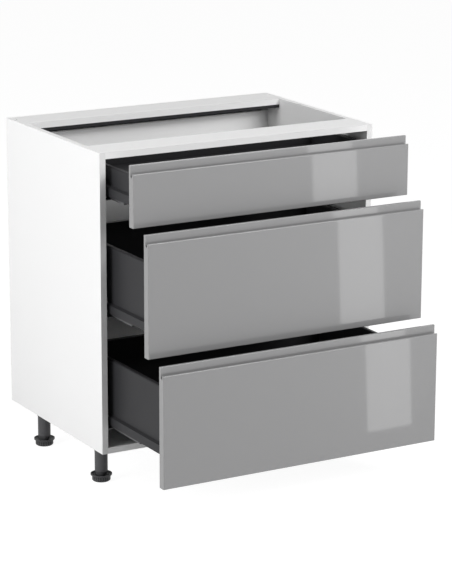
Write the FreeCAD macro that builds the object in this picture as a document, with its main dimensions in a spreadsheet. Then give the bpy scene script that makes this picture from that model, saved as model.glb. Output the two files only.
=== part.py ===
"""Kitchen base cabinet with three pull-out drawers, 800 wide, on levelling legs.

Millimetres. X runs to the right, Y to the back, Z up. The drawers stand pulled
out in steps, the lowest one furthest, and the origin is on the floor under the
middle of everything, drawers included.
"""
import FreeCAD, Part
import operator
import os
import Sketcher
from collections import namedtuple
from FreeCAD import Placement, Rotation, Vector

doc = FreeCAD.newDocument("base_cabinet")
sheet = doc.addObject("Spreadsheet::Sheet", "Sizes")

# ---------------------------------------------------------------- sizes ----

SIZES = {
    # carcass
    "carcass_width": 800,
    "carcass_height": 780,
    "carcass_depth": 545,
    "board": 16,              # thickness of every carcass board
    "leg_height": 100,        # floor to underside of the carcass
    "rail_depth": 100,        # flat rails at the top, front to back
    "back_thickness": 8,
    "back_inset": 30,         # service space behind the back panel
    "back_drop": 26,          # slot between the rear rail and the back panel
    "groove_depth": 8,        # grooves that hold the back panel
    "groove_play": 0.2,
    "traverse_height": 90,    # folded steel traverse under the rear rail
    "traverse_depth": 14,
    "traverse_gauge": 1.5,
    "dowel_radius": 4,
    "dowel_length": 34,
    "dowel_in_side": 11,
    "dowel_count": 4,         # along each end of the bottom panel
    "rail_dowel_count": 2,
    "dowel_play": 0.05,
    "dowel_end_play": 0.5,
    "dowel_margin": 37,       # first dowel from the front edge
    "dowel_groove_gap": 24,   # last dowel from the back panel's groove
    "rail_dowel_margin": 22,
    "worktop_hole_radius": 2.5,
    "worktop_hole_margin": 100,
    # legs
    "leg_side_inset": 40,     # leg axis from the outer face of the side
    "leg_front_inset": 88,
    "leg_rear_inset": 118,
    "tube_radius": 17,
    "tube_wall": 2.5,
    "tube_end_radius": 11.5,
    "tube_taper": 13,
    "tube_end_height": 14,    # floor to the tapered end of the tube
    "tube_plug": 6,           # thickness of the plug over the tapered end
    "socket_flange": 4,
    "socket_flange_radius": 30,
    "socket_collar": 12,
    "socket_wall": 2.5,
    "socket_play": 0.1,
    "foot_radius": 24,
    "foot_rim_radius": 28,
    "foot_rim": 1.4,
    "foot_height": 19,
    "foot_collar": 13,        # height of the fluted collar
    "foot_floor": 12,         # height of the floor of the dish
    "foot_bevel": 2.5,
    "flute_radius": 1.2,
    "flute_offset": 0.4,      # a flute's centre outside the collar
    "flute_count": 24,
    "spindle_radius": 5,
    "spindle_length": 60,
    "spindle_play": 0.3,
    # fronts
    "front_thickness": 22,
    "front_side_reveal": 2,   # front narrower than the carcass, each side
    "front_top_reveal": 2,
    "front_bottom_reveal": 3,
    "front_gap": 3,           # between two fronts
    "front_bumper": 2,        # front to carcass edge, drawer shut
    "front_round": 2,
    "pull_drop": 20,          # face stops this far under the top of the lip
    "pull_lip": 8,
    "pull_nose": 6,
    "pull_groove": 10,        # depth of the groove behind the nose
    "pull_groove_round": 3,
    "pull_edge_round": 1.5,
    # how far each drawer stands open
    "open_top": 150,
    "open_middle": 225,
    "open_bottom": 300,
    # lowest edge of the drawer box over the lower edge of its front
    "rise_top": 44,
    "rise_middle": 54,
    "rise_bottom": 70,
    # drawer boxes
    "rail_clearance": 22,     # the top drawer's sides under the front rail
    "deep_box_height": 170,   # sides of the two lower drawers
    "box_setback": 10,        # box shorter than its runner
    "steel": 1,               # gauge of the double-walled drawer side
    "skirt_gap": 9,           # drawer side's skirt from the carcass side
    "wall_gap": 17,           # drawer side's wall from the carcass side
    "wall_thickness": 14,
    "skirt_height": 22,
    "skirt_shoulder": 4,
    "wall_round": 4,
    "ledge": 14,              # shelf under the base board
    "base_thickness": 16,
    "box_play": 0.3,
    "rear_wall_thickness": 16,
    "bracket_plate": 2,
    "bracket_tongue": 32,
    "bracket_reach": 30,      # rear bracket over the rear wall
    # runners
    "runner_gauge": 1.5,
    "runner_play": 0.3,
    "runner_length": 500,
    "top_runner_length": 400,  # the top drawer is a short one
    "runner_setback": 3,      # runner from the front edge of the carcass
    "runner_drop": 9,         # base of the runner under the drawer's skirt
    "runner_plate": 33,       # height of the plate screwed to the side
    "channel_start": 14,      # middle member from the carcass side
    "channel_width": 15,
    "channel_height": 14.7,
    "member_gap": 0.5,
    "middle_setback": 30,     # middle member shorter than its runner
    "roller_count": 3,        # in each middle member
    "roller_margin": 40,      # first roller from the member's end
    "roller_play": 0.3,
    "journal_radius": 2.2,
    "journal_play": 0.15,
    "damper_length": 120,
    "damper_height": 20,
    "damper_play": 0.6,
}


class Size:
    """A length that carries its number and the formula it comes from."""

    def __init__(self, value, text):
        self.value = value
        self.text = text

    def join(self, sign, work, other, swap=False):
        other = size(other)
        first, second = (other, self) if swap else (self, other)
        return Size(work(first.value, second.value), f"({first.text} {sign} {second.text})")

    def __add__(self, other):
        return self.join("+", operator.add, other)

    def __radd__(self, other):
        return self.join("+", operator.add, other, True)

    def __sub__(self, other):
        return self.join("-", operator.sub, other)

    def __rsub__(self, other):
        return self.join("-", operator.sub, other, True)

    def __mul__(self, other):
        return self.join("*", operator.mul, other)

    def __rmul__(self, other):
        return self.join("*", operator.mul, other, True)

    def __truediv__(self, other):
        return self.join("/", operator.truediv, other)

    def __neg__(self):
        return 0 - self


def size(value):
    """A plain number as a Size; a Size as it is."""
    return value if isinstance(value, Size) else Size(value, str(value))


def write_sheet():
    """One row per driving size, named by its alias."""
    for row, (name, value) in enumerate(SIZES.items(), start=1):
        sheet.set(f"A{row}", name)
        sheet.set(f"B{row}", str(value))
        sheet.setAlias(f"B{row}", name)
    doc.recompute()


def driving(name):
    return Size(SIZES[name], f"Sizes.{name}")


write_sheet()

width = driving("carcass_width")
height = driving("carcass_height")
depth = driving("carcass_depth")
board = driving("board")
leg_height = driving("leg_height")
reach = driving("open_bottom") + driving("front_bumper") + driving("front_thickness")
front_edge = (reach - depth) / 2          # y of the carcass front edge
rear_edge = front_edge + depth
inner_half = width / 2 - board            # x of a side's inner face
top_z = leg_height + height
rail_z = top_z - board                    # underside of the top rails

# ------------------------------------------------------------- building ----

FINISHED = []


def finish(item, name):
    """Give a finished piece its name and keep it for the export."""
    item.Label = name
    FINISHED.append(item)
    return item


def bind(item, **links):
    for path, value in links.items():
        item.setExpression(path, size(value).text)


def place(item, x, y, z, turn=0):
    """Put an item at x, y, z, turned about its own Z axis."""
    item.Placement = Placement(Vector(), Rotation(Vector(0, 0, 1), turn))
    for axis, value in zip("xyz", (x, y, z)):
        item.setExpression(f"Placement.Base.{axis}", size(value).text)


def block(name, low, lengths):
    """A box from its low corner."""
    item = doc.addObject("Part::Box", name)
    bind(item, Length=lengths[0], Width=lengths[1], Height=lengths[2])
    place(item, *low)
    return item


def rod(name, radius, length, start, axis):
    """A cylinder from its start point, along the given axis."""
    item = doc.addObject("Part::Cylinder", name)
    bind(item, Radius=radius, Height=length)
    place(item, *start)
    item.Placement.Rotation = Rotation(Vector(0, 0, 1), axis)
    return item


def fuse(name, items):
    item = doc.addObject("Part::MultiFuse", name)
    item.Shapes = items
    return item


def cut(name, base, tools):
    item = doc.addObject("Part::Cut", name)
    item.Base = base
    item.Tool = tools[0] if len(tools) == 1 else fuse(f"{name}_tools", tools)
    return item


def group(name, items):
    """Separate solids that share one node."""
    item = doc.addObject("Part::Compound", name)
    item.Links = items
    return finish(item, name)


def new_body(name):
    return doc.addObject("PartDesign::Body", name)


def outline(body, name, plane, *loops):
    """A sketch of closed polygons, every corner bound to its formula."""
    sketch = body.newObject("Sketcher::SketchObject", name)
    origin_plane = [p for p in body.Origin.OriginFeatures if p.Role == plane][0]
    sketch.AttachmentSupport = (origin_plane, [""])
    sketch.MapMode = "FlatFace"
    for loop in loops:
        corners = [(size(x), size(y)) for x, y in loop]
        points = [Vector(x.value, y.value, 0) for x, y in corners]
        first = sketch.GeometryCount
        for start, end in zip(points, points[1:] + points[:1]):
            sketch.addGeometry(Part.LineSegment(start, end), False)
        for index, corner in enumerate(corners):
            before = first + (index - 1) % len(corners)
            here = first + index
            sketch.addConstraint(Sketcher.Constraint("Coincident", before, 2, here, 1))
            for kind, part in zip(("DistanceX", "DistanceY"), corner):
                made = Sketcher.Constraint(kind, -1, 1, here, 1, part.value)
                link = sketch.addConstraint(made)
                sketch.setExpression(f"Constraints[{link}]", part.text)
    return sketch


def pad(body, sketch, length, reverse=False, both=False):
    feature = body.newObject("PartDesign::Pad", f"{sketch.Name}_pad")
    feature.Profile = sketch
    feature.Reversed = reverse
    feature.Midplane = both
    bind(feature, Length=length)
    return feature


def revolve(body, sketch):
    """Turn a half section, drawn on the XZ plane, about the Z axis."""
    feature = body.newObject("PartDesign::Revolution", f"{sketch.Name}_turned")
    feature.Profile = sketch
    feature.ReferenceAxis = (sketch, ["V_Axis"])
    feature.Angle = 360
    return feature


def fillet(body, radius, pick):
    """Round the edges of the body's tip whose ends pass the test."""
    doc.recompute()
    base = body.Tip
    names = []
    for number, edge in enumerate(base.Shape.Edges, start=1):
        ends = [vertex.Point for vertex in edge.Vertexes]
        if len(ends) == 2 and pick(*ends):
            names.append(f"Edge{number}")
    feature = body.newObject("PartDesign::Fillet", f"{body.Name}_round")
    feature.Base = (base, names)
    bind(feature, Radius=radius)
    doc.recompute()
    return feature


def near(value, target):
    return abs(value - size(target).value) < 1e-4


# -------------------------------------------------------------- carcass ----

groove_width = driving("back_thickness") + 2 * driving("groove_play")
back_front = rear_edge - driving("back_inset") - driving("back_thickness")
groove_front = back_front - driving("groove_play")
dowel_hole = driving("dowel_radius") + driving("dowel_play")
dowel_side_hole = driving("dowel_in_side") + driving("dowel_end_play")
dowel_board_hole = driving("dowel_length") - driving("dowel_in_side") + driving("dowel_end_play")
bottom_dowel_z = leg_height + board / 2
rail_dowel_z = top_z - board / 2
first_dowel = front_edge + driving("dowel_margin")
last_dowel = groove_front - driving("dowel_groove_gap")
SIDES = {"left": -1, "right": 1}
RAILS = {"front": front_edge, "rear": rear_edge - driving("rail_depth")}


def spread(first, last, count):
    """Places at equal steps from the first to the last."""
    step = (last - first) / (count - 1)
    return [first + step * number for number in range(int(count.value))]


BOTTOM_DOWELS = spread(first_dowel, last_dowel, driving("dowel_count"))
RAIL_DOWELS = {
    name: spread(start + driving("rail_dowel_margin"),
                 start + driving("rail_depth") - driving("rail_dowel_margin"),
                 driving("rail_dowel_count"))
    for name, start in RAILS.items()
}


def dowel_places():
    """Every dowel's y and z, the same on both sides."""
    for y in BOTTOM_DOWELS:
        yield y, bottom_dowel_z
    for name in RAILS:
        for y in RAIL_DOWELS[name]:
            yield y, rail_dowel_z


def make_side(side, sign):
    """A side board with the groove for the back panel and blind dowel holes."""
    name = f"side_{side}"
    inner = sign * inner_half
    low_x = inner if sign > 0 else -width / 2
    base = block(f"{name}_board", (low_x, front_edge, leg_height), (board, depth, height))
    groove_x = inner if sign > 0 else inner - driving("groove_depth")
    tools = [block(f"{name}_groove", (groove_x, groove_front, leg_height),
                   (driving("groove_depth"), groove_width, height))]
    for number, (y, z) in enumerate(dowel_places()):
        tools.append(rod(f"{name}_hole{number}", dowel_hole, dowel_side_hole,
                         (inner, y, z), Vector(sign, 0, 0)))
    finish(cut(name, base, tools), name)


def end_holes(name, ys, z):
    """Dowel holes in both ends of a board that stands between the sides."""
    tools = []
    for side, sign in SIDES.items():
        for number, y in enumerate(ys):
            tools.append(rod(f"{name}_hole_{side}{number}", dowel_hole,
                             dowel_board_hole, (sign * inner_half, y, z), Vector(-sign, 0, 0)))
    return tools


def make_bottom():
    low = (-inner_half, front_edge, leg_height)
    base = block("bottom_board", low, (2 * inner_half, depth, board))
    groove_z = leg_height + board - driving("groove_depth")
    tools = [block("bottom_groove", (-inner_half, groove_front, groove_z),
                   (2 * inner_half, groove_width, driving("groove_depth")))]
    tools += end_holes("bottom", BOTTOM_DOWELS, bottom_dowel_z)
    finish(cut("bottom_panel", base, tools), "bottom_panel")


def make_rail(name):
    """A flat top rail with two holes for the worktop screws."""
    y = RAILS[name]
    base = block(f"{name}_rail_board", (-inner_half, y, rail_z),
                 (2 * inner_half, driving("rail_depth"), board))
    tools = end_holes(f"{name}_rail", RAIL_DOWELS[name], rail_dowel_z)
    for side, sign in SIDES.items():
        x = sign * (inner_half - driving("worktop_hole_margin"))
        tools.append(rod(f"{name}_rail_hole_{side}", driving("worktop_hole_radius"),
                         board, (x, y + driving("rail_depth") / 2, rail_z), Vector(0, 0, 1)))
    finish(cut(f"{name}_rail", base, tools), f"{name}_rail")


def make_back():
    """The back panel, slid into the grooves from above before the rail goes on."""
    tuck = driving("groove_depth") - driving("groove_play")
    low_z = leg_height + board - tuck
    high_z = rail_z - driving("back_drop")
    finish(block("back_panel", (-inner_half - tuck, back_front, low_z),
                 (2 * (inner_half + tuck), driving("back_thickness"), high_z - low_z)),
           "back_panel")


def make_traverse():
    """A steel channel under the rear rail, open to the front."""
    body = new_body("rear_traverse")
    deep = driving("traverse_depth")
    tall = driving("traverse_height")
    gauge = driving("traverse_gauge")
    sketch = outline(body, "traverse_section", "YZ_Plane", [
        (-deep, -tall), (0, -tall), (0, 0), (-deep, 0),
        (-deep, -gauge), (-gauge, -gauge), (-gauge, gauge - tall), (-deep, gauge - tall)])
    pad(body, sketch, 2 * inner_half, both=True)
    place(body, 0, rear_edge, rail_z)
    fillet(body, gauge / 2, lambda a, b: near(a.y, 0) and near(b.y, 0)
           and abs(a.x - b.x) > 1)
    finish(body, "rear_traverse")


def make_dowels():
    pegs = []
    for side, sign in SIDES.items():
        for number, (y, z) in enumerate(dowel_places()):
            x = sign * (inner_half + driving("dowel_in_side"))
            pegs.append(rod(f"dowel_{side}{number}", driving("dowel_radius"),
                            driving("dowel_length"), (x, y, z), Vector(-sign, 0, 0)))
    group("dowels", pegs)


# ----------------------------------------------------------------- legs ----

leg_x = width / 2 - driving("leg_side_inset")
LEGS = {
    "front_left": (-leg_x, front_edge + driving("leg_front_inset")),
    "front_right": (leg_x, front_edge + driving("leg_front_inset")),
    "rear_left": (-leg_x, rear_edge - driving("leg_rear_inset")),
    "rear_right": (leg_x, rear_edge - driving("leg_rear_inset")),
}
tube_top = leg_height - driving("socket_flange")
spindle_bore = driving("spindle_radius") + driving("spindle_play")


def make_sockets():
    """Round mounting sockets under the bottom panel, one per leg."""
    sockets = []
    bore = driving("tube_radius") + driving("socket_play")
    deep = driving("socket_collar")
    for name, (x, y) in LEGS.items():
        flange = rod(f"flange_{name}", driving("socket_flange_radius"),
                     driving("socket_flange"), (x, y, tube_top), Vector(0, 0, 1))
        collar = rod(f"collar_{name}", bore + driving("socket_wall"), deep,
                     (x, y, tube_top - deep), Vector(0, 0, 1))
        hole = rod(f"socket_bore_{name}", bore, deep, (x, y, tube_top - deep), Vector(0, 0, 1))
        sockets.append(cut(f"socket_{name}", fuse(f"socket_blank_{name}", [flange, collar]),
                           [hole]))
    group("leg_sockets", sockets)


def make_tube(name, x, y):
    """A leg tube with a tapered, plugged lower end."""
    body = new_body(f"leg_tube_{name}")
    radius = driving("tube_radius")
    inner = radius - driving("tube_wall")
    end = driving("tube_end_height")
    plug_top = end + driving("tube_taper") + driving("tube_plug")
    sketch = outline(body, f"tube_section_{name}", "XZ_Plane", [
        (spindle_bore, end), (driving("tube_end_radius"), end),
        (radius, end + driving("tube_taper")), (radius, tube_top),
        (inner, tube_top), (inner, plug_top), (spindle_bore, plug_top)])
    revolve(body, sketch)
    place(body, x, y, 0)
    finish(body, f"leg_tube_{name}")


def make_foot(name, x, y):
    """A levelling foot: spindle, dished rim and fluted collar."""
    body = new_body(f"foot_{name}")
    radius = driving("foot_radius")
    rim = driving("foot_rim_radius")
    tall = driving("foot_height")
    collar = driving("foot_collar")
    bevel = driving("foot_bevel")
    floor = driving("foot_floor")
    spindle = driving("spindle_radius")
    sketch = outline(body, f"foot_section_{name}", "XZ_Plane", [
        (0, 0), (radius - bevel, 0), (radius, bevel), (radius, collar),
        (rim, collar + bevel), (rim, tall), (rim - driving("foot_rim"), tall),
        (rim - 2 * driving("foot_rim"), tall - bevel),
        (driving("tube_end_radius") + bevel, floor), (spindle, floor),
        (spindle, driving("spindle_length")), (0, driving("spindle_length"))])
    revolve(body, sketch)
    doc.recompute()
    solid = body.Tip.Shape.Volume
    flute = body.newObject("Sketcher::SketchObject", f"flute_{name}")
    flute.AttachmentSupport = ([p for p in body.Origin.OriginFeatures
                                if p.Role == "XY_Plane"][0], [""])
    flute.MapMode = "FlatFace"
    centre = radius + driving("flute_offset")
    curve = driving("flute_radius")
    circle = Part.Circle(Vector(centre.value, 0, 0), Vector(0, 0, 1), curve.value)
    flute.addGeometry(circle, False)
    links = [("DistanceX", (-1, 1, 0, 3), centre), ("Radius", (0,), curve)]
    for kind, where, value in links:
        number = flute.addConstraint(Sketcher.Constraint(kind, *where, value.value))
        flute.setExpression(f"Constraints[{number}]", value.text)
    flute.addConstraint(Sketcher.Constraint("PointOnObject", 0, 3, -1))
    pocket = body.newObject("PartDesign::Pocket", f"flute_cut_{name}")
    pocket.Profile = flute
    pocket.Reversed = True
    bind(pocket, Length=collar)
    ring = body.newObject("PartDesign::PolarPattern", f"flutes_{name}")
    ring.Originals = [pocket]
    ring.Axis = (flute, ["N_Axis"])
    ring.Angle = 360
    bind(ring, Occurrences=driving("flute_count"))
    body.Tip = ring
    doc.recompute()
    if body.Tip.Shape.Volume >= solid:
        raise RuntimeError(f"the flutes of {name} cut nothing")
    place(body, x, y, 0)
    finish(body, f"foot_{name}")


# --------------------------------------------------------------- fronts ----

front_width = width - 2 * driving("front_side_reveal")
FRONT_UNITS = {"bottom": 2, "middle": 2, "top": 1}    # heights in equal units, from below
front_unit = (height - driving("front_top_reveal") - driving("front_bottom_reveal")
              - (len(FRONT_UNITS) - 1) * driving("front_gap")) / sum(FRONT_UNITS.values())

Drawer = namedtuple("Drawer", "front_z front_tall opening box_z box_tall runner")


def plan_drawers():
    """The places and sizes of each drawer, stacked from the bottom up."""
    drawers = {}
    front_z = leg_height + driving("front_bottom_reveal")
    for name, units in FRONT_UNITS.items():
        front_tall = units * front_unit
        box_z = front_z + driving(f"rise_{name}")
        if name == "top":
            box_tall = rail_z - driving("rail_clearance") - box_z
            runner = driving("top_runner_length")
        else:
            box_tall = driving("deep_box_height")
            runner = driving("runner_length")
        drawers[name] = Drawer(front_z, front_tall, driving(f"open_{name}"),
                               box_z, box_tall, runner)
        front_z = front_z + front_tall + driving("front_gap")
    return drawers


DRAWERS = plan_drawers()


def make_front(name, z, tall, y):
    """A front with its pull milled into the top: lip, groove, rounded nose."""
    body = new_body(f"front_{name}")
    thick = driving("front_thickness")
    lip = driving("pull_lip")
    nose = thick - driving("pull_nose")
    shelf = tall - driving("pull_drop")
    floor = shelf - driving("pull_groove")
    sketch = outline(body, f"front_section_{name}", "YZ_Plane", [
        (0, 0), (-thick, 0), (-thick, shelf), (-nose, shelf),
        (-nose, floor), (-lip, floor), (-lip, tall), (0, tall)])
    pad(body, sketch, front_width, both=True)
    place(body, 0, y, z)

    def along(p, q):
        return abs(p.x - q.x) > front_width.value / 2

    def groove_floor(p, q):
        return along(p, q) and near(p.z, floor) and near(q.z, floor)

    def thin_edges(p, q):
        inside = near(p.y, -nose) and near(p.z, shelf)
        lip_top = near(p.z, tall)
        return along(p, q) and (inside or lip_top)

    def face_rim(p, q):
        return near(p.y, -thick) and near(q.y, -thick)

    fillet(body, driving("pull_groove_round"), groove_floor)
    fillet(body, driving("pull_edge_round"), thin_edges)
    fillet(body, driving("front_round"), face_rim)
    finish(body, f"front_{name}")


# -------------------------------------------------- drawers and runners ----

steel = driving("steel")
gauge = driving("runner_gauge")
skirt_in = driving("skirt_gap") + steel
wall_out = driving("wall_gap")
wall_in = wall_out + driving("wall_thickness")
channel = driving("channel_start")
channel_end = channel + driving("channel_width")
base_v = -driving("runner_drop")                       # underside of the runner
middle_v = base_v + gauge + driving("runner_play")
middle_top = middle_v + driving("channel_height")
member_v = middle_top + driving("member_gap")          # underside of the drawer member's web
web_v = member_v + gauge                               # the drawer side rests here
board_v = web_v + steel                                # the base board rests here
axle_v = (middle_v + gauge + member_v) / 2             # roller axles
tread_radius = member_v - axle_v - driving("roller_play")


def lay(body, side, length, y, z):
    """Put a section's body along the left or right side of the carcass.

    Sections are drawn outward to inward from the carcass side, so the right
    hand piece is the same one turned half round.
    """
    if side == "left":
        place(body, -inner_half, y, z)
    else:
        place(body, inner_half, y + length, z, 180)


def extrude_along(name, side, section, length, y, z):
    """A straight piece with a constant section, front to back."""
    body = new_body(name)
    sketch = outline(body, f"{name}_section", "XZ_Plane", *section)
    pad(body, sketch, length, reverse=True)
    lay(body, side, length, y, z)
    return body


def make_cabinet_member(drawer, side, length, z):
    """The fixed runner member: a plate on the side and a channel beside it."""
    name = f"cabinet_runner_{drawer}_{side}"
    flange = channel_end + driving("runner_play")
    lip = member_v - driving("channel_height") / 2 + driving("member_gap")
    plate = base_v + driving("runner_plate")
    body = extrude_along(name, side, [[
        (0, base_v), (flange + gauge, base_v), (flange + gauge, lip), (flange, lip),
        (flange, base_v + gauge), (gauge, base_v + gauge), (gauge, plate), (0, plate)]],
        length, front_edge + driving("runner_setback"), z)
    finish(body, name)


def make_middle_member(drawer, side, length, y, z, axles):
    """The member between: an upright channel drilled for its rollers' journals."""
    name = f"middle_runner_{drawer}_{side}"
    body = extrude_along(f"{name}_channel", side, [[
        (channel, middle_v), (channel_end, middle_v), (channel_end, middle_top),
        (channel_end - gauge, middle_top), (channel_end - gauge, middle_v + gauge),
        (channel + gauge, middle_v + gauge), (channel + gauge, middle_top),
        (channel, middle_top)]],
        length, y, z)
    bore = driving("journal_radius") + driving("journal_play")
    holes = [cross_rod(f"{name}_hole{number}", side, bore, channel, channel_end, axle, z)
             for number, axle in enumerate(axles)]
    finish(cut(name, body, holes), name)


def cross_rod(name, side, radius, low, high, y, z):
    """A rod across a middle member, at the height of the roller axles."""
    sign = SIDES[side]
    return rod(name, radius, high - low, (sign * (inner_half - low), y, z + axle_v),
               Vector(-sign, 0, 0))


def make_rollers(drawer, axles, z):
    """Nylon rollers in both middle members; their treads carry the drawer members."""
    play = driving("roller_play")
    rollers = []
    for side in SIDES:
        for number, y in enumerate(axles):
            name = f"roller_{drawer}_{side}{number}"
            tread = cross_rod(f"{name}_tread", side, tread_radius,
                              channel + gauge + play, channel_end - gauge - play, y, z)
            journal = cross_rod(f"{name}_journal", side, driving("journal_radius"),
                                channel, channel_end, y, z)
            rollers.append(fuse(name, [tread, journal]))
    group(f"runner_rollers_{drawer}", rollers)


def make_drawer_member(drawer, side, length, y, z):
    """The member under the drawer side, a channel turned over the middle one."""
    name = f"drawer_runner_{drawer}_{side}"
    low = channel - driving("runner_play") - gauge
    high = channel_end + driving("runner_play") + gauge
    foot = member_v - driving("channel_height") / 2 + 2 * driving("member_gap")
    body = extrude_along(name, side, [[
        (low, foot), (low + gauge, foot), (low + gauge, member_v), (high - gauge, member_v),
        (high - gauge, foot), (high, foot), (high, web_v), (low, web_v)]],
        length, y, z)
    finish(body, name)


def make_drawer_side(drawer, side, tall, length, y, z):
    """A double-walled steel side: skirt, hollow wall and ledge in one section."""
    name = f"drawer_side_{drawer}_{side}"
    skirt = driving("skirt_gap")
    knee = driving("skirt_height")
    shoulder = knee + driving("skirt_shoulder")
    ledge = wall_in + driving("ledge")
    outer = [(skirt, 0), (skirt_in, 0), (skirt_in, web_v), (ledge, web_v), (ledge, board_v),
             (wall_in, board_v), (wall_in, tall), (wall_out, tall), (wall_out, shoulder),
             (skirt, knee)]
    hollow = [(skirt_in, board_v), (wall_in - steel, board_v), (wall_in - steel, tall - steel),
              (wall_out + steel, tall - steel), (wall_out + steel, shoulder - steel),
              (skirt_in, knee - steel)]
    body = extrude_along(name, side, [outer, hollow], length, y, z)

    def top_edge(p, q):
        return abs(p.y - q.y) > 1 and near(p.z, tall)

    def top_hollow_edge(p, q):
        return abs(p.y - q.y) > 1 and near(p.z, tall - steel)

    fillet(body, driving("wall_round"), top_edge)
    fillet(body, driving("wall_round") - steel, top_hollow_edge)
    finish(body, name)


def slab(name, side, across, along, upright):
    """A block at one side; its span across is measured from the carcass side."""
    low, high = across
    x = -inner_half + low if side == "left" else inner_half - high
    return block(name, (x, along[0], upright[0]),
                 (high - low, along[1] - along[0], upright[1] - upright[0]))


def make_brackets(drawer, tall, front_y, rear_y, z):
    """Steel plates with tongues that plug into both ends of each drawer side."""
    plate = driving("bracket_plate")
    play = driving("box_play")
    tongue = driving("bracket_tongue")
    low_z = z + driving("skirt_height") + driving("skirt_shoulder")
    high_z = z + tall - driving("wall_round") - play
    over_base_z = z + board_v + driving("base_thickness") + play
    inside_wall = (wall_out + steel + play, wall_in - steel - play)
    fronts, rears = [], []
    for side in SIDES:
        fronts.append(fuse(f"front_bracket_{drawer}_{side}", [
            slab(f"front_plate_{drawer}_{side}", side, (wall_out, wall_in),
                 (front_y, front_y + plate), (low_z, high_z)),
            slab(f"front_tongue_{drawer}_{side}", side, inside_wall,
                 (front_y, front_y + tongue), (over_base_z, high_z))]))
        rears.append(fuse(f"rear_bracket_{drawer}_{side}", [
            slab(f"rear_plate_{drawer}_{side}", side,
                 (wall_out, wall_in + driving("bracket_reach")),
                 (rear_y, rear_y + plate), (low_z, high_z)),
            slab(f"rear_tongue_{drawer}_{side}", side, inside_wall,
                 (rear_y + plate - tongue, rear_y + plate), (low_z, high_z))]))
    group(f"front_brackets_{drawer}", fronts)
    group(f"rear_brackets_{drawer}", rears)


def make_box_boards(drawer, tall, front_y, rear_y, z):
    """The base board on the ledges and the rear wall that stands on it."""
    half = inner_half - wall_in - driving("box_play")
    base = driving("base_thickness")
    thick = driving("rear_wall_thickness")
    finish(block(f"drawer_base_{drawer}", (-half, front_y, z + board_v),
                 (2 * half, rear_y - front_y, base)), f"drawer_base_{drawer}")
    finish(block(f"rear_wall_{drawer}", (-half, rear_y - thick, z + board_v + base),
                 (2 * half, thick, tall - board_v - base)), f"rear_wall_{drawer}")


def make_dampers():
    """Soft-close housings on the rear of the fixed runner members."""
    dampers = []
    across = (gauge, driving("skirt_gap") - driving("damper_play"))
    for name, drawer in DRAWERS.items():
        rear_y = front_edge + driving("runner_setback") + drawer.runner
        for side in SIDES:
            dampers.append(slab(f"damper_{name}_{side}", side, across,
                                (rear_y - driving("damper_length"), rear_y),
                                (drawer.box_z, drawer.box_z + driving("damper_height"))))
    group("soft_close_units", dampers)


def make_drawer(name, drawer):
    """One drawer with its front, box and the three members of both runners."""
    z = drawer.box_z
    rear_face = front_edge - driving("front_bumper") - drawer.opening
    side_y = rear_face + driving("bracket_plate")
    side_length = drawer.runner - driving("box_setback")
    rear_y = side_y + side_length
    middle_y = front_edge + driving("runner_setback") - drawer.opening / 2
    middle_length = drawer.runner - driving("middle_setback")
    axles = spread(middle_y + driving("roller_margin"),
                   middle_y + middle_length - driving("roller_margin"),
                   driving("roller_count"))
    make_front(name, drawer.front_z, drawer.front_tall, rear_face)
    for side in SIDES:
        make_cabinet_member(name, side, drawer.runner, z)
        make_middle_member(name, side, middle_length, middle_y, z, axles)
        make_drawer_member(name, side, side_length, side_y, z)
        make_drawer_side(name, side, drawer.box_tall, side_length, side_y, z)
    make_rollers(name, axles, z)
    make_brackets(name, drawer.box_tall, rear_face, rear_y, z)
    make_box_boards(name, drawer.box_tall, rear_face, rear_y, z)


# --------------------------------------------------------------- export ----


def check_document():
    """Stop if any object failed or any finished piece is not a sound solid."""
    doc.recompute()
    for item in doc.Objects:
        if "Invalid" in item.State or "Error" in item.State:
            raise RuntimeError(f"{item.Label} failed: {item.State}")
    for item in FINISHED:
        if item.Shape.isNull() or not item.Shape.isValid() or not item.Shape.Solids:
            raise RuntimeError(f"{item.Label} is not a valid solid")


def export():
    os.makedirs("parts", exist_ok=True)
    for item in FINISHED:
        item.Shape.exportStep(os.path.join("parts", f"{item.Label}.step"))
    print(len(FINISHED), "pieces written")


for side, sign in SIDES.items():
    make_side(side, sign)
make_bottom()
make_rail("front")
make_rail("rear")
make_back()
make_traverse()
make_dowels()
make_sockets()
for leg, (x, y) in LEGS.items():
    make_tube(leg, x, y)
    make_foot(leg, x, y)
for name, drawer in DRAWERS.items():
    make_drawer(name, drawer)
make_dampers()
check_document()
export()
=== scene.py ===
"""Looks of a kitchen base cabinet with three drawers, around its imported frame.

Metres. X to the right, Y to the back, Z up, the same frame as the construction.
"""
import math

import bpy
import numpy as np
from mathutils import Matrix, Vector


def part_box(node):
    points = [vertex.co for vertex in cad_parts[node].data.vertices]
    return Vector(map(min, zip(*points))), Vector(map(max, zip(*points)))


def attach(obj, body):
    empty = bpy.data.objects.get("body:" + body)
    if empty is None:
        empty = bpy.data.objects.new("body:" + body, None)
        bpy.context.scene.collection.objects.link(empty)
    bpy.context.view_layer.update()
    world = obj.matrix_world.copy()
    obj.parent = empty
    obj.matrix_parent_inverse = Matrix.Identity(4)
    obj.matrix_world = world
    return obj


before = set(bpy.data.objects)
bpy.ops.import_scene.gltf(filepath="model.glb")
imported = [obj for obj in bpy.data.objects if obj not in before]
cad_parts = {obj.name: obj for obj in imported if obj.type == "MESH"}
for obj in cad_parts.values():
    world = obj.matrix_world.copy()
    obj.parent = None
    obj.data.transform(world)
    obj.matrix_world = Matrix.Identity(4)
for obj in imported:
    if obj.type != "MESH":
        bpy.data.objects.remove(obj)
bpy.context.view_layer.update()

# ------------------------------------------------------------------ view ----
# The camera stands to the left of the cabinet and a little above it, on a
# long lens, as the photograph was taken.

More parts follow.
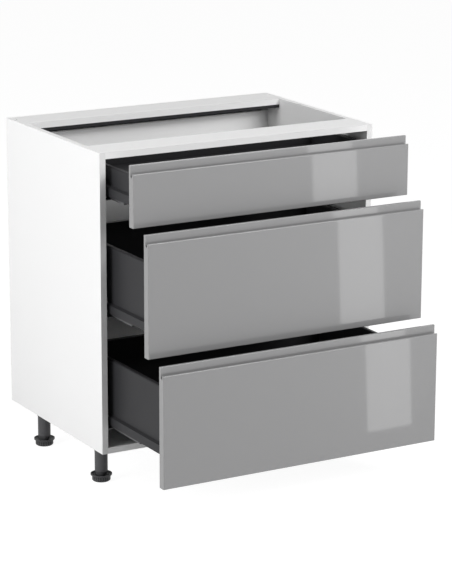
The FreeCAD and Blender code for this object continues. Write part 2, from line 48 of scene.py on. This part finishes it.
CAMERA_PLACE = Vector((-3.0628, -5.3821, 2.0683))
CAMERA_TURN = math.radians(29.83)      # to the right of straight ahead
CAMERA_DIP = math.radians(14.63)       # below level
CAMERA_ROLL = math.radians(-0.17)
FOCAL_PIXELS = 2440.8
FRAME_PIXELS = 584                     # long side of the photograph

ahead = Vector((math.sin(CAMERA_TURN) * math.cos(CAMERA_DIP),
                math.cos(CAMERA_TURN) * math.cos(CAMERA_DIP),
                -math.sin(CAMERA_DIP)))
level = Vector((math.cos(CAMERA_TURN), -math.sin(CAMERA_TURN), 0.0))
down = ahead.cross(level)
right = math.cos(CAMERA_ROLL) * level + math.sin(CAMERA_ROLL) * down
up = math.sin(CAMERA_ROLL) * level - math.cos(CAMERA_ROLL) * down

camera_data = bpy.data.cameras.new("camera")
camera_data.sensor_width = 36.0
camera_data.lens = FOCAL_PIXELS * camera_data.sensor_width / FRAME_PIXELS
camera_data.clip_end = 60.0
camera = bpy.data.objects.new("camera", camera_data)
camera.matrix_world = (Matrix.Translation(CAMERA_PLACE)
                       @ Matrix((right, up, -ahead)).transposed().to_4x4())
bpy.context.scene.collection.objects.link(camera)
bpy.context.scene.camera = camera
bpy.context.scene.view_settings.view_transform = "Standard"

# ------------------------------------------------------- studio and floor ----
# A white studio: an even surround, two soft lamps on the left, two ahead on
# the right, and a tall strip, leant a little, that the glossy fronts mirror.


def empty_material(name):
    """A new node material without nodes, and its tree."""
    material = bpy.data.materials.new(name)
    material.use_nodes = True
    tree = material.node_tree
    tree.nodes.clear()
    return material, tree


def feed(tree, socket, value):
    """Set an input to a plain value, or link it to an output or a node's first one."""
    if isinstance(value, bpy.types.Node):
        value = value.outputs[0]
    if isinstance(value, bpy.types.NodeSocket):
        tree.links.new(value, socket)
    else:
        socket.default_value = value


def add(tree, kind, *values, **named):
    """A node of the given kind. Values without a name feed its inputs in order,
    and named ones feed the input of that name or else are the node's settings."""
    node = tree.nodes.new(kind)
    for name, value in named.items():
        label = name.replace("_", " ").title().replace("Ior", "IOR")
        if label in node.inputs:
            feed(tree, node.inputs[label], value)
        else:
            setattr(node, name, value)
    for socket, value in zip(node.inputs, values):
        feed(tree, socket, value)
    return node


def worked(tree, operation, *values):
    """A Math node on numbers and outputs; gives its own output."""
    return add(tree, "ShaderNodeMath", *values, operation=operation).outputs[0]


WHITE = (1.0, 1.0, 1.0, 1.0)
SURROUND_LIGHT = 0.18                  # what the surround throws on the cabinet

world = bpy.data.worlds.new("studio")
bpy.context.scene.world = world
world.use_nodes = True
sky = world.node_tree
sky.nodes.clear()
ray = add(sky, "ShaderNodeLightPath").outputs
seen = worked(sky, "MAXIMUM", ray["Is Camera Ray"], ray["Is Glossy Ray"])
seen = worked(sky, "MAXIMUM", seen, ray["Is Transmission Ray"])
surround = add(sky, "ShaderNodeBackground", color=WHITE, strength=SURROUND_LIGHT)
backdrop = add(sky, "ShaderNodeBackground", color=WHITE, strength=1.0)
add(sky, "ShaderNodeOutputWorld", add(sky, "ShaderNodeMixShader", seen, surround, backdrop))


def soft_lamp(name, place, target, wide, tall, watts, lean=0.0):
    """A rectangular lamp that faces its target, leant in degrees, and isn't seen."""
    data = bpy.data.lights.new(name, "AREA")
    data.shape = "RECTANGLE"
    data.size = wide
    data.size_y = tall
    data.energy = watts
    lamp = bpy.data.objects.new(name, data)
    aim = (Vector(target) - Vector(place)).to_track_quat("-Z", "Y")
    lamp.matrix_world = (Matrix.Translation(place) @ aim.to_matrix().to_4x4()
                         @ Matrix.Rotation(math.radians(lean), 4, "Z"))
    lamp.visible_camera = False
    bpy.context.scene.collection.objects.link(lamp)
    return lamp


soft_lamp("key_left", place=(-3.4, -0.5, 1.0), target=(0.0, -0.05, 0.4),
          wide=1.8, tall=1.6, watts=42.0)
high_key = soft_lamp("key_high", place=(-3.0, 0.1, 2.5), target=(0.0, 0.1, 0.6),
                     wide=1.4, tall=1.4, watts=34.0)
soft_lamp("fill_high", place=(1.2, -3.0, 3.2), target=(0.0, 0.0, 0.6),
          wide=2.0, tall=1.8, watts=74.0)
low_fill = soft_lamp("fill_low", place=(1.5, -3.6, 2.3), target=(0.0, 0.0, 0.6),
                     wide=2.0, tall=1.6, watts=96.0)
strip = soft_lamp("strip_right", place=(1.238, -1.96, 0.435), target=(1.138, -1.0, 0.435),
                  wide=0.165, tall=1.73, watts=2.04, lean=2.7)
high_key.visible_glossy = False
low_fill.visible_glossy = False
strip.visible_diffuse = False

# The floor lights the cabinet as matt white. The camera sees it glow white,
# with a trace of the cabinet's shadow.
FLOOR_REACH = 12.0
FLOOR_MATT = (0.80, 0.80, 0.80, 1.0)
FLOOR_TRACE = (0.22, 0.22, 0.22, 1.0)
FLOOR_GLOW = 0.93
floor_data = bpy.data.meshes.new("floor")
floor_corners = FLOOR_REACH * np.array([(-1, -1, 0), (1, -1, 0), (1, 1, 0), (-1, 1, 0)])
floor_data.from_pydata(floor_corners.tolist(), [], [(0, 1, 2, 3)])
floor = bpy.data.objects.new("floor", floor_data)
bpy.context.scene.collection.objects.link(floor)
floor_white, tree = empty_material("floor_white")
matt = add(tree, "ShaderNodeBsdfDiffuse", color=FLOOR_MATT)
trace = add(tree, "ShaderNodeBsdfDiffuse", color=FLOOR_TRACE)
glow = add(tree, "ShaderNodeEmission", color=WHITE, strength=FLOOR_GLOW)
shown = add(tree, "ShaderNodeAddShader", trace, glow)
by_camera = add(tree, "ShaderNodeLightPath").outputs["Is Camera Ray"]
add(tree, "ShaderNodeOutputMaterial", add(tree, "ShaderNodeMixShader", by_camera, matt, shown))
floor_data.materials.append(floor_white)
floor.visible_glossy = False

# --------------------------------------------------------------- carcass ----
# White melamine faced boards: a hard, faintly pearled film pressed on
# chipboard, with lipped front edges. The boards are dowelled and glued.


def new_group(name, inputs, outputs):
    """A shader node group whose inputs have these usual numbers or vectors, and
    whose outputs are numbers; then the sockets inside it, in and out."""
    group = bpy.data.node_groups.new(name, "ShaderNodeTree")
    for label, value in inputs.items():
        kind = "NodeSocketVector" if isinstance(value, tuple) else "NodeSocketFloat"
        socket = group.interface.new_socket(name=label, in_out="INPUT", socket_type=kind)
        socket.default_value = value
    for label in outputs:
        group.interface.new_socket(name=label, in_out="OUTPUT", socket_type="NodeSocketFloat")
    start = group.nodes.new("NodeGroupInput")
    end = group.nodes.new("NodeGroupOutput")
    return group, start.outputs, end.inputs


# Pearl: fine and coarse noise on Object coordinates. Height is the fine
# relief, Tone a colour factor near 1, Rough a roughness near its base value.
NOISE_MEAN = 0.5
pearl, given, result = new_group(
    "pearl",
    {"Grain": 900.0, "Cloud": 6.0, "Tone Range": 0.02, "Rough Base": 0.4,
     "Rough Range": 0.05, "Stretch": (1.0, 1.0, 1.0)},
    ("Height", "Tone", "Rough"))
spot = add(pearl, "ShaderNodeTexCoord").outputs["Object"]
drawn = add(pearl, "ShaderNodeVectorMath", spot, given["Stretch"], operation="MULTIPLY")
fine = add(pearl, "ShaderNodeTexNoise", vector=drawn, scale=given["Grain"],
           detail=2.0, roughness=0.55)
coarse = add(pearl, "ShaderNodeTexNoise", vector=drawn, scale=given["Cloud"],
             detail=3.0, roughness=0.5)
centred = worked(pearl, "SUBTRACT", coarse, NOISE_MEAN)
tone = worked(pearl, "MULTIPLY_ADD", centred, given["Tone Range"], 1.0)
rough = worked(pearl, "MULTIPLY_ADD", centred, given["Rough Range"], given["Rough Base"])
feed(pearl, result["Height"], fine)
feed(pearl, result["Tone"], tone)
feed(pearl, result["Rough"], rough)


def pearled(name, colour, grain, cloud, tone_range, rough_base, rough_range, relief,
            depth=0.0002, stretch=(1.0, 1.0, 1.0), **constants):
    """A principled material whose tone, roughness and relief come from pearl."""
    material, tree = empty_material(name)
    surface = add(tree, "ShaderNodeGroup", node_tree=pearl, grain=grain, cloud=cloud,
                  tone_range=tone_range, rough_base=rough_base, rough_range=rough_range,
                  stretch=stretch).outputs
    tint = add(tree, "ShaderNodeVectorMath", colour, operation="SCALE", scale=surface["Tone"])
    bump = add(tree, "ShaderNodeBump", strength=relief, distance=depth,
               height=surface["Height"])
    shader = add(tree, "ShaderNodeBsdfPrincipled", base_color=tint,
                 roughness=surface["Rough"], normal=bump, **constants)
    add(tree, "ShaderNodeOutputMaterial", shader)
    return material


def base_colour(material):
    """A pearled material's tree, its shader's colour input, and what feeds that."""
    tree = material.node_tree
    socket = tree.nodes["Principled BSDF"].inputs["Base Color"]
    return tree, socket, socket.links[0].from_socket


def mixed(tree, kind, share, first, second):
    """A Mix node on numbers ("FLOAT") or colours ("RGBA"); gives its output."""
    node = add(tree, "ShaderNodeMix", share, data_type=kind)
    place, outcome = {"FLOAT": (2, 0), "RGBA": (6, 2)}[kind]    # first input, output
    feed(tree, node.inputs[place], first)
    feed(tree, node.inputs[place + 1], second)
    return node.outputs[outcome]


def dress(material, *names):
    """Give CAD nodes their finish."""
    for name in names:
        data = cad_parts[name].data
        data.materials.clear()
        data.materials.append(material)


def span(name):
    """The lowest and the highest corner of a CAD node, as arrays."""
    low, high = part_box(name)
    return np.array(low), np.array(high)


# Edges: the front of a board is its lipping, a little greyer than the film,
# with a fine glue line behind it. On the side boards the lipping is darker
# still: painted shade, for the light that the drawer fronts keep off those
# edges. The rear is bare.
LIPPING = 0.001
GLUE_LINE = 0.00008                    # half its width
GLUE_TONE = 0.7
BARE_EDGE = 0.0003
edges, given, result = new_group(
    "board_edges",
    {"Front": -0.3, "Rear": 0.3, "Inner Half": 0.384, "Side Tone And Shade": 0.76, "Cross Tone": 0.84},
    ("Tone", "Core"))
spot = add(edges, "ShaderNodeTexCoord").outputs["Object"]
spot = add(edges, "ShaderNodeSeparateXYZ", spot).outputs
behind_front = worked(edges, "SUBTRACT", spot["Y"], given["Front"])
at_lipping = worked(edges, "LESS_THAN", behind_front, LIPPING)
at_glue = worked(edges, "COMPARE", behind_front, LIPPING, GLUE_LINE)
glue_tone = worked(edges, "MULTIPLY_ADD", at_glue, GLUE_TONE - 1.0, 1.0)
at_side = worked(edges, "GREATER_THAN", worked(edges, "ABSOLUTE", spot["X"]),
                 given["Inner Half"])
# painted shade: the side boards' front edges are darker than the lipping of the boards across
lipping_and_shade_tone = mixed(edges, "FLOAT", at_side, given["Cross Tone"], given["Side Tone And Shade"])
lipping_and_shade_tone = mixed(edges, "FLOAT", at_lipping, 1.0, lipping_and_shade_tone)
before_rear = worked(edges, "SUBTRACT", given["Rear"], spot["Y"])
feed(edges, result["Tone"], worked(edges, "MULTIPLY", glue_tone, lipping_and_shade_tone))
feed(edges, result["Core"], worked(edges, "LESS_THAN", before_rear, BARE_EDGE))

FLAKES = 420.0                         # chipboard flakes to the metre
DARK_FLAKE = (0.30, 0.20, 0.11, 1.0)
PALE_FLAKE = (0.66, 0.52, 0.35, 1.0)


def faced_board(name, front, rear):
    """White faced board, lipped where Y is front and bare where it is rear."""
    material = pearled(name, colour=(0.88, 0.88, 0.88), grain=1400.0, cloud=5.0,
                       tone_range=0.015, rough_base=0.42, rough_range=0.05, relief=0.25)
    tree, socket, film = base_colour(material)
    rim = add(tree, "ShaderNodeGroup", node_tree=edges, front=front, rear=rear).outputs
    lipped = add(tree, "ShaderNodeVectorMath", film, operation="SCALE", scale=rim["Tone"])
    spot = add(tree, "ShaderNodeTexCoord").outputs["Object"]
    flakes = add(tree, "ShaderNodeTexVoronoi", vector=spot, scale=FLAKES)
    chipboard = add(tree, "ShaderNodeValToRGB", flakes.outputs["Color"])
    chipboard.color_ramp.elements[0].color = DARK_FLAKE
    chipboard.color_ramp.elements[1].color = PALE_FLAKE
    feed(tree, socket, mixed(tree, "RGBA", rim["Core"], lipped, chipboard))
    return material


board_low, board_high = span("side_left")
rail_low = span("rear_rail")[0]
dress(faced_board("white_board", front=board_low[1], rear=board_high[1]),
      "side_left", "side_right", "bottom_panel", "front_rail", "back_panel")
dress(faced_board("white_rail", front=rail_low[1], rear=board_high[1]), "rear_rail")

# ---------------------------------------------------------------- dowels ----
# Turned beech dowels, glued into the joints, where they stay hidden. The
# grain runs along them.

beech = pearled("beech", colour=(0.62, 0.45, 0.28), grain=900.0, cloud=260.0, tone_range=0.5,
                rough_base=0.6, rough_range=0.08, relief=0.4, stretch=(0.06, 1.0, 1.0))
dress(beech, "dowels")

# -------------------------------------------------------------- traverse ----
# A traverse folded from sheet steel and powder coated graphite. It is screwed
# under the rear rail and stiffens the back of the carcass.

graphite_steel = pearled("graphite_steel", colour=(0.024, 0.024, 0.026), grain=2600.0,
                         cloud=9.0, tone_range=0.06, rough_base=0.50, rough_range=0.06,
                         relief=0.35, specular_ior_level=0.18)
dress(graphite_steel, "rear_traverse")

# --------------------------------------------------------- rail shade angle ----
# A steel angle in the same graphite coat. It is fixed close under the front
# edge of the rear rail and reaches from side board to side board. Its dark
# face is painted shade: it stands in for the shadow under the rail's edge.

SHADE_ANGLE_LEGS = (0.014, 0.009)        # along the rail's underside, and down
SHADE_ANGLE_GAUGE = 0.001
SHADE_ANGLE_SETBACK = 0.0005             # behind the rail's front edge
inner_half = -board_high[0]


def place_piece(name, points, faces, finish, body, slot, smooth=True):
    """A new piece from computed points and faces, with its finish, on its body. The slot is not
    used.
    """
    data = bpy.data.meshes.new(name)
    data.from_pydata(points.tolist(), [], faces)
    data.polygons.foreach_set("use_smooth", np.full(len(faces), smooth))
    data.materials.append(finish)
    piece = bpy.data.objects.new(name, data)
    bpy.context.scene.collection.objects.link(piece)
    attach(piece, body)
    return piece


def angle_bar(half_length, front, top, legs, gauge):
    """An L section carried along X: the six corners of the L, counted round it,
    stand at both ends, and each pair of neighbours is joined by a face."""
    deep, tall = legs
    section = np.array([(0.0, 0.0), (0.0, -tall), (gauge, -tall),
                        (gauge, -gauge), (deep, -gauge), (deep, 0.0)])
    corners = len(section)
    line = np.column_stack((np.zeros(corners), front + section[:, 0], top + section[:, 1]))
    points = np.vstack((line - [half_length, 0, 0], line + [half_length, 0, 0]))
    now = np.arange(corners)
    after = (now + 1) % corners
    walls = np.column_stack((now, now + corners, after + corners, after))
    return points, walls.tolist() + [now.tolist(), (now[::-1] + corners).tolist()]


# painted shade: a dark angle where the shadow under the rear rail falls
bar = angle_bar(inner_half, rail_low[1] + SHADE_ANGLE_SETBACK, rail_low[2], SHADE_ANGLE_LEGS,
                SHADE_ANGLE_GAUGE)
place_piece("rail_shade_angle", *bar, graphite_steel, "carcass", "graphite_steel", smooth=False)

# ------------------------------------------------------------------ legs ----
# Injection moulded dark grey plastic: a socket screwed under the bottom, a
# tube pushed into it, and a fluted foot that screws into the tube.

LEGS = ("front_left", "front_right", "rear_left", "rear_right")
leg_plastic = pearled("leg_plastic", colour=(0.092, 0.092, 0.096), grain=1900.0, cloud=40.0,
                      tone_range=0.08, rough_base=0.46, rough_range=0.08, relief=0.3,
                      specular_ior_level=0.15)
foot_plastic = pearled("foot_plastic", colour=(0.060, 0.060, 0.063), grain=1900.0, cloud=40.0,
                       tone_range=0.08, rough_base=0.44, rough_range=0.08, relief=0.3,
                       specular_ior_level=0.3)
dress(leg_plastic, "leg_sockets", *[f"leg_tube_{leg}" for leg in LEGS])
dress(foot_plastic, *[f"foot_{leg}" for leg in LEGS])

# Painted shade in the flutes: every point under the collar's top that lies
# nearer to its leg's axis than the collar's ridges do is darker.
COLLAR_TOP = 0.0128
RIDGE_RADIUS = 0.02385
FLUTE_SHADE = 0.25
tree, socket, plain = base_colour(foot_plastic)
spot = add(tree, "ShaderNodeTexCoord").outputs["Object"]
spot = add(tree, "ShaderNodeSeparateXYZ", spot).outputs
front_axis, rear_axis = (sum(span(f"leg_tube_{leg}")) / 2.0
                         for leg in ("front_right", "rear_right"))
off_x = worked(tree, "SUBTRACT", worked(tree, "ABSOLUTE", spot["X"]), front_axis[0])
off_front, off_rear = (
    worked(tree, "ABSOLUTE", worked(tree, "SUBTRACT", spot["Y"], axis[1]))
    for axis in (front_axis, rear_axis))
off_y = worked(tree, "MINIMUM", off_front, off_rear)
off_square = worked(tree, "ADD", worked(tree, "MULTIPLY", off_x, off_x),
                    worked(tree, "MULTIPLY", off_y, off_y))
in_flute = worked(tree, "MULTIPLY", worked(tree, "LESS_THAN", off_square, RIDGE_RADIUS ** 2),
                  worked(tree, "LESS_THAN", spot["Z"], COLLAR_TOP))
# painted shade: the flutes darker, as if in the shade of the ridges
flute_shade = worked(tree, "MULTIPLY_ADD", in_flute, FLUTE_SHADE - 1.0, 1.0)
feed(tree, socket,
     add(tree, "ShaderNodeVectorMath", plain, operation="SCALE", scale=flute_shade))

# --------------------------------------------------------------- runners ----
# Roll formed steel channels, dark passivated, that slide in each other on
# nylon rollers. The soft-close housings beside them are moulded plastic.

DRAWERS = ("top", "middle", "bottom")
runner_steel = pearled("runner_steel", colour=(0.13, 0.13, 0.135), grain=700.0, cloud=30.0,
                       tone_range=0.12, rough_base=0.46, rough_range=0.08, relief=0.2,
                       stretch=(1.0, 0.05, 1.0), metallic=1.0)
nylon = pearled("nylon", colour=(0.70, 0.69, 0.66), grain=1500.0, cloud=40.0, tone_range=0.05,
                rough_base=0.40, rough_range=0.05, relief=0.15)
damper_plastic = pearled("damper_plastic", colour=(0.12, 0.12, 0.125), grain=1900.0, cloud=40.0,
                         tone_range=0.06, rough_base=0.45, rough_range=0.06, relief=0.3)
dress(runner_steel, *[f"{member}_runner_{drawer}_{side}"
                      for member in ("cabinet", "middle", "drawer")
                      for drawer in DRAWERS for side in ("left", "right")])
dress(nylon, *[f"runner_rollers_{drawer}" for drawer in DRAWERS])
dress(damper_plastic, "soft_close_units")

# ---------------------------------------------------------- drawer boxes ----
# Double-walled steel sides with plugged-in brackets, in the traverse's
# graphite powder coat. The base and the rear wall are graphite faced board.

graphite_board = pearled("graphite_board", colour=(0.028, 0.028, 0.030), grain=1500.0,
                         cloud=6.0, tone_range=0.05, rough_base=0.5, rough_range=0.05,
                         relief=0.3, specular_ior_level=0.18)
for drawer in DRAWERS:
    dress(graphite_steel, f"drawer_side_{drawer}_left", f"drawer_side_{drawer}_right",
          f"front_brackets_{drawer}", f"rear_brackets_{drawer}")
    dress(graphite_board, f"drawer_base_{drawer}", f"rear_wall_{drawer}")

# ---------------------------------------------------------------- fronts ----
# Fibreboard fronts, lacquered grey and polished to a high gloss, with the
# pull milled along the top edge.

gloss_front = pearled("gloss_front", colour=(0.202, 0.202, 0.204), grain=260.0, cloud=3.0,
                      tone_range=0.01, rough_base=0.32, rough_range=0.02, relief=0.012,
                      depth=0.0003, coat_weight=1.0, coat_roughness=0.035, coat_ior=1.5)
dress(gloss_front, *[f"front_{drawer}" for drawer in DRAWERS])

# ---------------------------------------------------------------- screws ----
# Cold headed, zinc plated pan-head screws with a cross recess: three through
# each runner plate, four through each leg socket, four up through the
# traverse, and two in each rear bracket.

zinc = pearled("zinc", colour=(0.50, 0.51, 0.53), grain=900.0, cloud=120.0, tone_range=0.12,
               rough_base=0.38, rough_range=0.08, relief=0.15, depth=0.0001, metallic=1.0)
AROUND = 24                            # points in each ring of a turned shape
HEAD_RADIUS = 0.0036
HEAD_RISE = 0.0022
HEAD_FALL = 0.4                        # of the rise, from the middle to the rim
RIM_RISE = 0.45                        # of the rise, where the rim turns down
RECESS = 0.0014
RECESS_HUB = 0.12                      # of the radius, between the cross's arms
RECESS_ARM = 0.42                      # of the radius, what the arms add


def turned(across, up, top, seats, axes):
    """Closed turned shapes, one on each seat, each along its own axis.

    Ring k stands at radius across[k] and at height up[k, a] for the angle a, so
    a point is seat + across cos a u + across sin a v + up w, with w the axis
    and u and v square to it. The rings close in a pole at the top and one in
    the seat's plane.
    """
    seats = np.array(seats, dtype=float)
    w = np.broadcast_to(np.array(axes, dtype=float), seats.shape)
    u = np.cross(np.where(w[:, 2:] != 0.0, (1.0, 0.0, 0.0), (0.0, 0.0, 1.0)), w)
    v = np.cross(w, u)
    now = np.arange(AROUND)
    a = now * 2.0 * np.pi / AROUND
    rings = np.stack(np.broadcast_arrays(across[:, None] * np.cos(a),
                                         across[:, None] * np.sin(a), up), axis=-1)
    shape = np.vstack(((0.0, 0.0, top), rings.reshape(-1, 3), (0.0, 0.0, 0.0)))
    points = seats[:, None, :] + shape @ np.stack((u, v, w), axis=1)
    after = (now + 1) % AROUND
    start = 1 + np.arange(len(across) - 1)[:, None] * AROUND
    quads = np.stack((start + now, start + AROUND + now, start + AROUND + after,
                      start + after), axis=-1).reshape(-1, 4)
    last = 1 + (len(across) - 1) * AROUND
    pole = np.zeros_like(now)
    caps = np.vstack((np.column_stack((pole, 1 + now, 1 + after)),
                      np.column_stack((pole + last + AROUND, last + after, last + now))))
    shift = np.arange(len(seats))[:, None, None] * len(shape)
    faces = (quads + shift).reshape(-1, 4).tolist() + (caps + shift).reshape(-1, 3).tolist()
    return points.reshape(-1, 3), faces


def screw_heads(seats, axes):
    """Pan heads: height falls as the square of the radius, less a cross recess
    whose reach at the angle a grows with the cube of |cos 2a|."""
    share = np.array([0.1, 0.2, 0.3, 0.42, 0.55, 0.7, 0.86, 0.96, 1.0, 1.0])
    a = np.arange(AROUND) * 2.0 * np.pi / AROUND
    dome = HEAD_RISE * (1.0 - HEAD_FALL * share ** 2)
    dome[-2:] = (RIM_RISE * HEAD_RISE, 0.0)
    reach = RECESS_HUB + RECESS_ARM * np.abs(np.cos(2.0 * a)) ** 3
    recess = RECESS * np.exp(-(share[:, None] / reach) ** 4)
    recess[-2:] = 0.0
    return turned(HEAD_RADIUS * share, dome[:, None] - recess, HEAD_RISE - RECESS, seats, axes)


RUNNER_PLATE = 0.0015
RUNNER_SCREWS = 3
RUNNER_SCREW_DROP = 0.014              # under the plate's upper edge
FIRST_SCREW = 0.037                    # from the runner's front end
LAST_SCREW = 0.165                     # from its rear end, clear of the soft-close unit
seats = []
axes = []
for side, inwards in (("left", 1.0), ("right", -1.0)):
    for drawer in DRAWERS:
        low, high = span(f"cabinet_runner_{drawer}_{side}")
        along = np.linspace(low[1] + FIRST_SCREW, high[1] - LAST_SCREW, RUNNER_SCREWS)
        x = -inwards * (inner_half - RUNNER_PLATE)
        seats += [(x, y, high[2] - RUNNER_SCREW_DROP) for y in along]
        axes += [(inwards, 0.0, 0.0)] * RUNNER_SCREWS
place_piece("runner_screws", *screw_heads(seats, axes), zinc, "carcass", "runner_steel")

SOCKET_CIRCLE = 0.025                  # on which a socket's screws stand
quarters = np.radians((45.0, 135.0, 225.0, 315.0))
seats = []
for leg in LEGS:
    low, high = span(f"leg_tube_{leg}")
    centre = (low + high) / 2.0
    seats.append(np.column_stack((centre[0] + SOCKET_CIRCLE * np.cos(quarters),
                                  centre[1] + SOCKET_CIRCLE * np.sin(quarters),
                                  np.full(len(quarters), high[2]))))
place_piece("socket_screws", *screw_heads(np.vstack(seats), (0.0, 0.0, -1.0)), zinc,
            "carcass", "runner_steel")

TRAVERSE_GAUGE = 0.0015
TRAVERSE_SCREWS = (-0.3, -0.1, 0.1, 0.3)
low, high = span("rear_traverse")
seats = [(x, (low[1] + high[1]) / 2.0, high[2] - TRAVERSE_GAUGE) for x in TRAVERSE_SCREWS]
place_piece("traverse_screws", *screw_heads(seats, (0.0, 0.0, -1.0)), zinc, "carcass",
            "runner_steel")

BOX_SIDE = 0.031                       # from the side board to the drawer's inside
BRACKET_REACH = 0.030                  # from there over the rear wall
BRACKET_SCREW = 0.015                  # from the bracket's inner end
BRACKET_MARGIN = 0.010                 # from its upper and lower ends
screw_x = inner_half - BOX_SIDE - BRACKET_REACH + BRACKET_SCREW
for drawer in DRAWERS:
    low, high = span(f"rear_brackets_{drawer}")
    seats = [(x, high[1], z) for x in (-screw_x, screw_x)
             for z in (low[2] + BRACKET_MARGIN, high[2] - BRACKET_MARGIN)]
    place_piece(f"bracket_screws_{drawer}", *screw_heads(seats, (0.0, 1.0, 0.0)), zinc,
                f"{drawer}_drawer", "runner_steel")

# --------------------------------------------------------------- bumpers ----
# Soft plastic domes stuck on the back of each front, where it meets the
# front edges of the side boards.

bumper_plastic = pearled("bumper_plastic", colour=(0.55, 0.56, 0.56), grain=1200.0, cloud=60.0,
                         tone_range=0.03, rough_base=0.22, rough_range=0.04, relief=0.05,
                         depth=0.0001)
BUMPER_RADIUS = 0.004
BUMPER_RISE = 0.0018
BUMPER_FLATTENING = 0.9                # 1 would bring its rim down to the front
BUMPER_MARGIN = 0.02                   # from the front's upper and lower edges
BOARD = 0.016                          # thickness of a side board

share = np.array([0.2, 0.4, 0.6, 0.8, 0.93, 1.0, 1.0])
dome = BUMPER_RISE * np.sqrt(1.0 - BUMPER_FLATTENING * share ** 2)
dome[-1] = 0.0
board_middle = inner_half + BOARD / 2
for drawer in DRAWERS:
    low, high = span(f"front_{drawer}")
    seats = [(x, high[1], z) for x in (-board_middle, board_middle)
             for z in (low[2] + BUMPER_MARGIN, high[2] - BUMPER_MARGIN)]
    domes = turned(BUMPER_RADIUS * share, dome[:, None], BUMPER_RISE, seats, (0.0, 1.0, 0.0))
    place_piece(f"front_bumpers_{drawer}", *domes, bumper_plastic, f"{drawer}_drawer",
                "roller_nylon")
